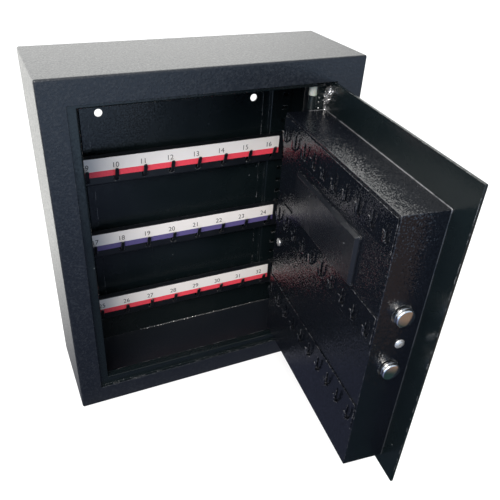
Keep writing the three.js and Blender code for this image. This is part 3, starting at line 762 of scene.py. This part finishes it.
# ---- key rails
def key_rail(place):
    """A folded bar with a row of pressed hooks. An ear at each end drops into a slot of an upright."""
    node = "key_rail_" + place
    low, high = cad_box(node)
    t, half = RAIL_SHEET, RAIL_BAR["half_length"]
    plate_y = cad_box("label_strip_" + place)[1].y + GAP + t / 2
    ear_y, ear_z = high.y - t / 2, high.z - RAIL_BAR["ear_height"]
    flange_back = high.y - RAIL_BAR["behind_top"]
    top, bottom = high.z - t / 2, low.z + t / 2
    path = [(flange_back, top), (plate_y, top), (plate_y, bottom), (plate_y + RAIL_BAR["lower_lip"], bottom)]
    bar = extrude_x(fold(path, t, radius=1.8), -half, half)
    stations = row(RAIL_HOOKS["count"], RAIL_HOOKS["pitch"])
    root_z, reach = high.z - RAIL_WINDOW["below"], RAIL_WINDOW["width"] / 2
    top_z = root_z + RAIL_WINDOW["height"]
    windows = [block((x - reach, plate_y - 3, root_z), (x + reach, plate_y + 3, top_z)) for x in stations]
    parts = [soft_edges(cut(bar, windows), 0.2, 1, 60)]
    for side in (-1, 1):
        x0, x1 = sorted((side * (half - 1), side * high.x))
        parts.append(soft_edges(block((x0, plate_y + 1, high.z - t), (x1, flange_back, high.z)), 0.2))
        ear = fold([(flange_back - 1, top), (ear_y, top), (ear_y, ear_z)], t, radius=1.4)
        ear_x, ear_half = SLOT["x"] * side, RAIL_BAR["ear_width"] / 2
        parts.append(extrude_x(ear, ear_x - ear_half, ear_x + ear_half))
    hook = soften([(plate_y, root_z - 1.5), (plate_y - 0.6, root_z + 1), (plate_y - 4.2, root_z + 3.8),
                   (plate_y - 9.6, root_z + 19.2), (plate_y - 10.6, root_z + 20.3)], 0.9, 3)
    parts += hooks(hook, RAIL_HOOKS["width"], [0.86, 0.78, 0.66, 0.36], t, stations)
    piece(node + "_bar", merge(*parts), RAIL, "cabinet", [node])


BANDS = {"top": (0.80, 0.055, 0.085), "middle": (0.095, 0.075, 0.215), "bottom": (0.80, 0.06, 0.09)}


def label(place):
    """A rail's label card and the numbers printed on it."""
    node = "label_strip_" + place
    low, high = cad_box(node)
    outline = rounded_rect(low.x, high.x, low.z, high.z, 0.8, 3)
    card = sheet([outline], low.y + 0.06, high.y, 0.06)
    paper = label_card("label_" + place, BANDS[place], low.z)
    piece(node + "_card", card, paper, "cabinet", [node])
    digits = []
    baseline = low.z + LABEL_BAND + NUMBERS["above_band"]
    for i, x in enumerate(row(RAIL_HOOKS["count"], NUMBERS["pitch"])):
        digits.append(number(NUMBERS["first"][place] + i, x + NUMBERS["centre"], baseline, low.y))
    piece(node + "_numbers", merge(*digits), INK, "cabinet")


def number(value, x, z, y):
    """Printed digits, centred on x, that stand on height z."""
    text = bpy.data.curves.new("digits", "FONT")
    text.body = str(value)
    text.align_x = "CENTER"
    text.size = NUMBERS["height"] / DIGIT_SHARE
    text.extrude = 0.03
    bm = evaluated_bmesh(add_object("digits", text))
    bm.transform(Matrix.Translation((x, y + 0.04, z)) @ Matrix.Rotation(math.pi / 2, 4, "X"))
    return bm


# ---- door
def bowl(low, high, wall, radius):
    """A box that is open in front, drawn from its rounded back over the rim to the inside."""
    loops = []
    for angle in range(90, -1, -15):
        a = math.radians(angle)
        inset, rise = radius * (1 - math.cos(a)), radius * (1 - math.sin(a))
        loops.append(rect_loop(low, high, inset, max(radius - inset, 0.4), high.y - rise))
    loops.append(rect_loop(low, high, 0, radius, low.y))
    loops.append(rect_loop(low, high, wall, max(radius - wall, 0.3), low.y))
    inner = max(radius - wall, 0.4)
    for angle in range(0, 91, 30):
        a = math.radians(angle)
        inset, rise = wall + inner * (1 - math.cos(a)), wall + inner * (1 - math.sin(a))
        loops.append(rect_loop(low, high, inset, max(radius - inset, 0.2), high.y - rise))
    return loft(loops)


def door_plate():
    """The door's sheet, with holes for the knob's spindle and the key plug."""
    low, high = shut_box("door_plate")
    holes = []
    for node, radius in (("knob_spindle", 6), ("key_escutcheon", 7.5)):
        c = shut_middle(node)
        holes.append(circle(c.x, c.z, radius))
    inside = 0.1     # keeps the soft edge within the CAD node's box
    outline = rounded_rect(low.x + inside, high.x - inside, low.z + inside, high.z - inside, 1.2, 3)
    plate = sheet([outline, *holes], low.y, high.y, 0.5)
    piece("door_sheet", plate, SATIN, "door", ["door_plate"])


def door_pan():
    """The box on the door's inside, with the holes that the bolts slide through."""
    low, high = shut_box("door_pan")
    holes = []
    for level in LEVELS:
        c = shut_middle(level + "_bolt")
        holes.append(lathe([(BOLT["hole_radius"], -8), (BOLT["hole_radius"], 8)], (low.x, c.y, c.z), "x", 48))
    pan = cut(bowl(low, high, THIN, PAN_BEND), holes)
    piece("door_box", pan, ENAMEL, "door", ["door_pan"])
    box_bead(low, high)


def box_bead(low, high):
    """The filler bead where the box meets the sheet, thinner at the sides, and one on the box's far edge."""
    loops = []
    for angle in range(0, 360, 45):
        a = math.radians(angle)
        out, back = BEAD_RADIUS * math.cos(a), 0.4 + BEAD_RADIUS * math.sin(a)
        spread = Vector((0.45 * out, 0, out))
        loops.append(rect_loop(low - spread, high + spread, 0, max(PAN_BEND + out, 0.1), low.y + back))
    x, z = high.x - 0.6, high.z - 0.5
    far_edge = lumpy_bead((x, low.y, z), (x, low.y + 24, z), radius=1.0, lump=0.4, seed=9.1)
    bead = merge(loft(loops, ring=True), far_edge)
    piece("door_box_bead", bead, BEAD, "door", smooth_below=60)


def lock_cover():
    """A shallow tray with chamfered edges over the lock work."""
    low, high = shut_box("lock_cover")
    chamfer, drop = 3.6, 2.8
    shoulder = high.y - drop
    steps = [(chamfer, 0.6, high.y), (chamfer - 0.4, 0.7, high.y - 0.1), (0.4, 1.3, shoulder + 0.1),
             (0.1, 1.5, shoulder - 0.2), (0, 1.6, shoulder - 0.6), (0, 1.6, low.y), (THIN, 0.6, low.y),
             (THIN, 0.6, shoulder - 0.8), (chamfer + 0.4, 0.4, high.y - THIN)]
    tray = loft([rect_loop(low, high, inset, corner, y) for inset, corner, y in steps])
    piece("lock_cover_tray", tray, COVER, "door", ["lock_cover"], smooth_below=12)


def hook_strip(place):
    """A flat strip on the door's box with a row of pressed hooks in round-cornered windows."""
    node = "hook_strip_" + place
    low, high = shut_box(node)
    y0, y1 = low.y, low.y + STRIP_SHEET
    centre = (low.x + high.x) / 2
    top = high.z - STRIP_WINDOW["below"]
    bottom = top - STRIP_WINDOW["height"]
    stations = [centre + x for x in row(STRIP_HOOKS["count"], STRIP_HOOKS["pitch"])]
    half = STRIP_WINDOW["width"] / 2
    windows = [rounded_rect(x - half, x + half, bottom, top, 2.2, 4) for x in stations]
    parts = [sheet([rounded_rect(low.x, high.x, low.z, high.z, 1, 3), *windows], y0, y1, 0.22)]
    middle = (y0 + y1) / 2
    hook = soften([(middle, bottom - 1.2), (middle + 0.7, bottom + 1.2), (middle + 4.6, bottom + 2.9),
                   (middle + 5.8, top - 5.2), (middle + 6.9, top - 4)], 1.1, 4)
    parts += hooks(hook, STRIP_HOOKS["width"], [0.94, 0.8, 0.5], STRIP_SHEET, stations)
    piece(node + "_plate", merge(*parts), STRIP_ENAMEL, "door", [node])


# ---- hinges
def hinge(level):
    """The arm with its barrel, the nylon sleeve and the rough welds that hold the arm to the door."""
    arm_low, arm_high = shut_box(level + "_hinge_arm")
    sleeve_low, sleeve_high = shut_box(level + "_hinge_sleeve")
    half, r, bore = ARM["sheet"] / 2, ARM["barrel_radius"], ARM["bore_radius"]
    if level == "upper":
        z0, z1 = arm_high.z - 27.8, arm_high.z - 11
        web_top, ear_bottom = z1, z1 - 1
    else:
        z0, z1 = arm_low.z, arm_low.z + 14.6
        web_top, ear_bottom = arm_high.z - 6, arm_low.z + 19
    web = block((PIVOT.x - half, arm_low.y, arm_low.z), (PIVOT.x + half, PIVOT.y - 4, web_top))
    ear = block((PIVOT.x - half + 0.01, arm_low.y, ear_bottom),
                (PIVOT.x + half - 0.01, PIVOT.y - 6.5, arm_high.z))
    ring = [(r, z0 + 0.4), (r, z1 - 0.4), (4.6, z1), (bore, z1), (bore, z0), (4.6, z0)]
    barrel = tube(ring, (PIVOT.x, PIVOT.y, 0), "z", 40)
    arm = merge(soft_edges(web, 0.5), soft_edges(ear, 0.5), barrel)
    piece(level + "_arm_plate", arm, SATIN, "door", [level + "_hinge_arm"])
    z0, z1 = sleeve_low.z, sleeve_high.z
    wall = [(r, z0 + 0.4), (4.85, (z0 + z1) / 2), (r, z1 - 0.4), (4.6, z1), (3.15, z1), (3.15, z0), (4.6, z0)]
    sleeve = tube(wall, (PIVOT.x, PIVOT.y, 0), "z", 40)
    piece(level + "_sleeve", sleeve, NYLON, "door", [level + "_hinge_sleeve"])
    arm_welds(level, arm_low, arm_high)


def arm_welds(level, arm_low, arm_high):
    """A rough weld on each side of the arm, three spots on it and two lumps beside the upper one."""
    root = arm_low.y + 1.2
    middle = (arm_low.z + arm_high.z) / 2
    beads = []
    for side, seed in ((-1, 3.1), (1, 7.7)):
        x = PIVOT.x + side * 4.2
        start, end = (x, root, arm_low.z + 2), (x, root, arm_high.z - 3)
        beads.append(lumpy_bead(start, end, radius=2.4, lump=3.4, seed=seed))
    lumps = ((7, 11, 3.4, 5.9), (18, 15, 4.0, 1.3)) if level == "upper" else ()
    for z, reach, radius, seed in lumps:
        at = Vector((PIVOT.x - reach, root + 0.6, middle + z))
        start, end = at + Vector((5.5, 0, 2.6)), at - Vector((3.5, 0, 4.2))
        beads.append(lumpy_bead(start, end, radius, lump=4.4, seed=seed, segments=24))
    for z, seed in ((6, 2.2), (0, 4.4), (-7, 8.8)):
        at = Vector((PIVOT.x - 1.6, root + 8, middle + z))
        start, end = at - Vector((0, 1.1, 0)), at + Vector((0, 1.1, 0.4))
        beads.append(lumpy_bead(start, end, radius=1.1, lump=0.9, seed=seed, segments=12))
    piece(level + "_arm_welds", merge(*beads), WELD, "door", smooth_below=80)


# ---- locks and screws
def lock_bolt(level):
    """A round bolt with a slightly domed tip and a groove behind it."""
    low, high = shut_box(level + "_bolt")
    c = shut_middle(level + "_bolt")
    r, shaft = BOLT["radius"], BOLT["shaft_radius"]
    dome = [(max(0.01, (r - 1.5) * t), 0.6 * t * t) for t in (0, 0.2, 0.4, 0.6, 0.8, 1)]
    rim = [(r - 0.8, 0.8), (r - 0.25, 1.2), (r, 1.8), (r, 2.6)]
    groove = [(r - 0.3, 2.9), (r - 1.4, 3.1), (r - 1.5, 3.4), (r - 1.5, 4.2), (r - 1.4, 4.5), (r - 0.3, 4.7)]
    collar = [(r, 5.0), (r, 6.2), (r - 0.3, 6.6), (shaft, 7)]
    profile = [(radius, low.x + along) for radius, along in dome + rim + groove + collar]
    bar = lathe([*profile, (shaft, high.x), (0.01, high.x)], (0, c.y, c.z), "x", 72)
    piece(level + "_bolt_bar", bar, CHROME, "bolts", [level + "_bolt"], smooth_below=50)


def screw(node, axis):
    """A pan-head screw with a tapered cross recess."""
    low, high = shut_box(node)
    c = shut_middle(node)
    if axis == "x":
        seat, way, spot = high.x - SCREW_SHANK, -1, (0, c.y, c.z)
    else:
        seat, way, spot = low.y + SCREW_SHANK, 1, (c.x, 0, c.z)
    head = [(0.01, 2.58), (2.0, 2.5), (3.7, 2.15), (4.9, 1.5), (5.5, 0.85), (5.6, 0.5), (5.5, 0.32)]
    shank = [(2.0, 0.3), (2.0, -SCREW_SHANK), (0.01, -SCREW_SHANK)]
    body = lathe([(r, seat + way * h) for r, h in head + shank], spot, axis, 40)
    for wide, tall in ((2.1, 0.38), (0.38, 2.1)):
        outer = [(-wide, -tall), (wide, -tall), (wide, tall), (-wide, tall)]
        deep = [(u * 0.55, v * 0.7) for u, v in outer]
        loops = []
        for outline, height in ((deep, 0.9), (outer, 2.8)):
            s = seat + way * height
            loops.append([(s, c.y + u, c.z + v) if axis == "x" else (c.x + u, s, c.z + v)
                          for u, v in outline])
        body = cut(body, [loft(loops)])
    piece(node + "_head", body, SCREW, "door", [node], smooth_below=40)


def knob_body():
    """A round knob with finger scallops round its rim."""
    low, high = shut_box("knob")
    c = shut_middle("knob")
    front, back, r = low.y, high.y, (high.x - low.x) / 2
    profile = [(0.01, front, 0), (r - 9, front, 0), (r - 6, front + 0.2, 0), (r - 4, front + 0.7, 0.5),
               (r - 1.6, front + 2, 1), (r - 0.4, front + 3.6, 1), (r, front + 5.4, 1), (r, front + 13, 1),
               (r - 1.2, front + 15.4, 0.7), (r - 3.6, front + 18.6, 0.1), (r - 4.2, front + 20, 0),
               (r - 4, back, 0), (0.01, back, 0)]
    loops = []
    segments, scallops, deepest = 128, 8, 2.1
    for radius, y, depth in profile:
        loop = []
        for i in range(segments):
            a = 2 * math.pi * i / segments
            hollow = deepest * depth * max(0, math.cos(scallops * (a - math.pi / scallops))) ** 1.5
            loop.append((c.x + (radius - hollow) * math.cos(a), y, c.z + (radius - hollow) * math.sin(a)))
        loops.append(loop)
    piece("knob_grip", loft(loops), CHROME, "knob", ["knob"], smooth_below=50)


def round_plate(node, name, edge, bore):
    """A domed ring under the knob or round the key plug."""
    low, high = shut_box(node)
    c = shut_middle(node)
    r = (high.x - low.x) / 2
    ring = [(r, high.y), (r, high.y - 0.6), (r - 0.4, low.y + 0.5), (r - edge, low.y), (bore + 0.5, low.y),
            (bore, low.y + 0.4), (bore, high.y)]
    plate = tube(ring, (c.x, 0, c.z), "y", 72)
    piece(name, plate, CHROME, "door", [node], smooth_below=40)


def key_plug():
    """The plug that the key turns, with its rim and keyway."""
    low, high = shut_box("key_plug")
    c = shut_middle("key_escutcheon")
    front, rim_back, back = low.y, low.y + 2.2, high.y - 8.5
    profile = [(0.01, front), (7.6, front), (8.3, front + 0.3), (8.6, front + 0.9), (8.6, rim_back),
               (7, rim_back + 0.1), (7, back), (0.01, back)]
    body = lathe(profile, (c.x, 0, c.z), "y", 56)
    keyway = block((c.x - 0.8, front - 1, c.z - 4), (c.x + 0.8, front + 14, c.z + 4))
    ward = block((c.x + 0.4, front - 1.2, c.z - 1.4), (c.x + 1.7, front + 12, c.z + 0.6))
    body = cut(cut(body, [keyway]), [ward])
    piece("key_plug_barrel", body, CHROME, "key", smooth_below=40)


def carried_over():
    """CAD nodes whose own shape is shown: the lock work and the pins."""
    finishes = {"zinc_plate": ZINC, "chrome": CHROME}
    slots = {part["node"]: part["material_slot"] for part in frame["record"]["subparts"]}
    for name, node in frame["nodes"].items():
        if not node.hide_render:
            node.data.materials.clear()
            node.data.materials.append(finishes[slots[name]])


def seam():
    """The rough painted seam where the back panel meets the floor."""
    low = cad_box("back_panel")[0]
    left, right, y, z = -74, 158, low.y - 0.4, low.z + 0.4
    bead = lumpy_bead((left, y, z), (right, y, z), 0.55, lump=1.1, seed=11.3, segments=220, around=8)
    piece("back_seam", bead, WELD, "cabinet", smooth_below=80)


# ---- build
body_shell()
back_panel()
door_stop()
upright(-1, "left_upright")
upright(1, "right_upright")
pivot_lug("upper_pivot_lug", True)
pivot_lug("lower_pivot_lug", False)
seam()
for place in PLACES:
    key_rail(place)
    label(place)
    hook_strip(place)
door_plate()
door_pan()
lock_cover()
for level in LEVELS:
    hinge(level)
    lock_bolt(level)
screw("side_screw", "x")
screw("face_screw", "y")
knob_body()
round_plate("knob_rose", "rose_plate", edge=2.5, bore=5.3)
round_plate("key_escutcheon", "escutcheon_ring", edge=1.5, bore=7.3)
key_plug()
carried_over()


# ---- stage, light and camera
def reflected_floor(s):
    """The floor in reflections, in metres: dim in front of the cabinet, so that dark paint stays dark."""
    x, y = s.along("X"), s.along("Y")
    right = s.remap(x, 0.03, 0.12)
    away = s.math("MULTIPLY", right, s.remap(y, -0.26, -0.40))
    near = s.mix(away, (0.072, 0.080, 0.130), (0.020, 0.043, 0.042))
    far = s.mix(s.remap(y, -0.7, -1.1), (0.22, 0.26, 0.42), (0.78, 1.05, 1.40))
    front = s.mix(s.remap(s.math("ADD", y, s.math("MULTIPLY", right, 0.3)), -0.30, -0.75), near, far)
    # A warm patch lies out in front, to the right.
    patch = s.node("ShaderNodeVectorMath", operation="DISTANCE")
    s.link(s.place, patch.inputs[0])
    patch.inputs[1].default_value = (0.58, -0.90, CAD_BOUNDS[0].z)
    front = s.mix(s.remap(patch.outputs["Value"], 0.50, 0.36), front, (0.26, 0.175, 0.125))
    behind = s.mix(s.remap(y, 0.0, 0.35), (0.70, 0.70, 0.71), (2.3, 2.3, 2.22))
    return s.mix(s.remap(y, -0.16, 0.0), front, behind)


def floor():
    """A floor under the cabinet that is pale to the camera."""
    bm = bmesh.new()
    bmesh.ops.create_grid(bm, x_segments=8, y_segments=8, size=8)
    bm.transform(Matrix.Translation((0, 0, CAD_BOUNDS[0].z)))
    mesh = as_mesh(bm, "floor")
    s = Shader("floor")
    light = s.node("ShaderNodeEmission")
    s.link(reflected_floor(s), light.inputs["Color"])
    white = s.node("ShaderNodeEmission")
    white.inputs["Strength"].default_value = 0.72
    s.set(Base_Color=s.mix(s.noise(400, detail=2), (0.33, 0.33, 0.33), (0.34, 0.34, 0.34)), Roughness=0.9,
          Specular_IOR_Level=0.0)
    seen = s.node("ShaderNodeAddShader")
    s.link(s.surface.outputs[0], seen.inputs[0])
    s.link(white.outputs[0], seen.inputs[1])
    choice = s.node("ShaderNodeMixShader")
    s.link(s.node("ShaderNodeLightPath").outputs["Is Camera Ray"], choice.inputs[0])
    s.link(light.outputs[0], choice.inputs[1])
    s.link(seen.outputs[0], choice.inputs[2])
    s.link(choice.outputs[0], s.tree.nodes["Material Output"].inputs["Surface"])
    mesh.materials.append(s.material)
    add_object("floor", mesh)


def direction(azimuth, elevation):
    """Unit vector towards a place round the object. Azimuth 0 is in front and 90 is to the right."""
    a, e = math.radians(azimuth), math.radians(elevation)
    return Vector((math.sin(a) * math.cos(e), -math.cos(a) * math.cos(e), math.sin(e)))


def softbox(name, azimuth, elevation, distance, size, power, color):
    """A rectangular lamp that faces the object."""
    light = bpy.data.lights.new(name, "AREA")
    light.shape = "RECTANGLE"
    light.size, light.size_y = size
    light.energy = power
    light.color = color
    made = add_object(name, light)
    toward = direction(azimuth, elevation)
    made.location = toward * distance
    made.rotation_mode = "QUATERNION"
    made.rotation_quaternion = toward.to_track_quat("Z", "Y")


def world():
    """A studio, brightest behind the cabinet and dimmer to the right. The camera sees plain white."""
    made = bpy.data.worlds.new("studio")
    made.use_nodes = True
    bpy.context.scene.world = made
    tree = made.node_tree

    def ramp(value, low, high, to_low, to_high):
        """A value moved from one range to another."""
        spread = tree.nodes.new("ShaderNodeMapRange")
        for key, item in {"From Min": low, "From Max": high, "To Min": to_low, "To Max": to_high}.items():
            spread.inputs[key].default_value = item
        tree.links.new(value, spread.inputs["Value"])
        return spread.outputs["Result"]

    split = tree.nodes.new("ShaderNodeSeparateXYZ")
    tree.links.new(tree.nodes.new("ShaderNodeTexCoord").outputs["Generated"], split.inputs[0])
    shade = tree.nodes.new("ShaderNodeMix")
    shade.data_type = "RGBA"
    shade.inputs[6].default_value = (0.66, 0.74, 0.86, 1)
    shade.inputs[7].default_value = (2.7, 2.7, 2.62, 1)
    tree.links.new(ramp(split.outputs["Y"], -0.3, 0.45, 0, 1), shade.inputs["Factor"])
    studio = tree.nodes["Background"]
    tree.links.new(shade.outputs[2], studio.inputs["Color"])
    tree.links.new(ramp(split.outputs["X"], 0.40, 0.72, 1.0, 0.35), studio.inputs["Strength"])
    plain = tree.nodes.new("ShaderNodeBackground")
    plain.inputs["Color"].default_value = (1, 1, 1, 1)
    choice = tree.nodes.new("ShaderNodeMixShader")
    tree.links.new(tree.nodes.new("ShaderNodeLightPath").outputs["Is Camera Ray"], choice.inputs[0])
    tree.links.new(studio.outputs[0], choice.inputs[1])
    tree.links.new(plain.outputs[0], choice.inputs[2])
    tree.links.new(choice.outputs[0], tree.nodes["World Output"].inputs["Surface"])


CAMERA = {"place": (-0.23876, -0.69761, 0.39183), "azimuth": -25.731, "elevation": 34.163, "roll": 3.159,
          "lens": 40.93, "shift": (0.0245, 0.0264)}


def camera():
    """The camera, placed as the photograph's was."""
    data = bpy.data.cameras.new("camera")
    data.lens = CAMERA["lens"]
    data.sensor_width = 36
    data.shift_x, data.shift_y = CAMERA["shift"]
    data.clip_start = 0.01
    made = add_object("camera", data)
    made.location = CAMERA["place"]
    made.rotation_mode = "QUATERNION"
    back = direction(CAMERA["azimuth"], CAMERA["elevation"])
    roll = Matrix.Rotation(math.radians(CAMERA["roll"]), 4, "Z").to_quaternion()
    made.rotation_quaternion = back.to_track_quat("Z", "Y") @ roll
    bpy.context.scene.camera = made


floor()
world()
softbox("key", azimuth=-35, elevation=36, distance=2.2, size=(1.2, 1.2), power=56, color=(1.0, 0.955, 0.90))
camera()
bpy.context.scene.view_settings.view_transform = "Standard"
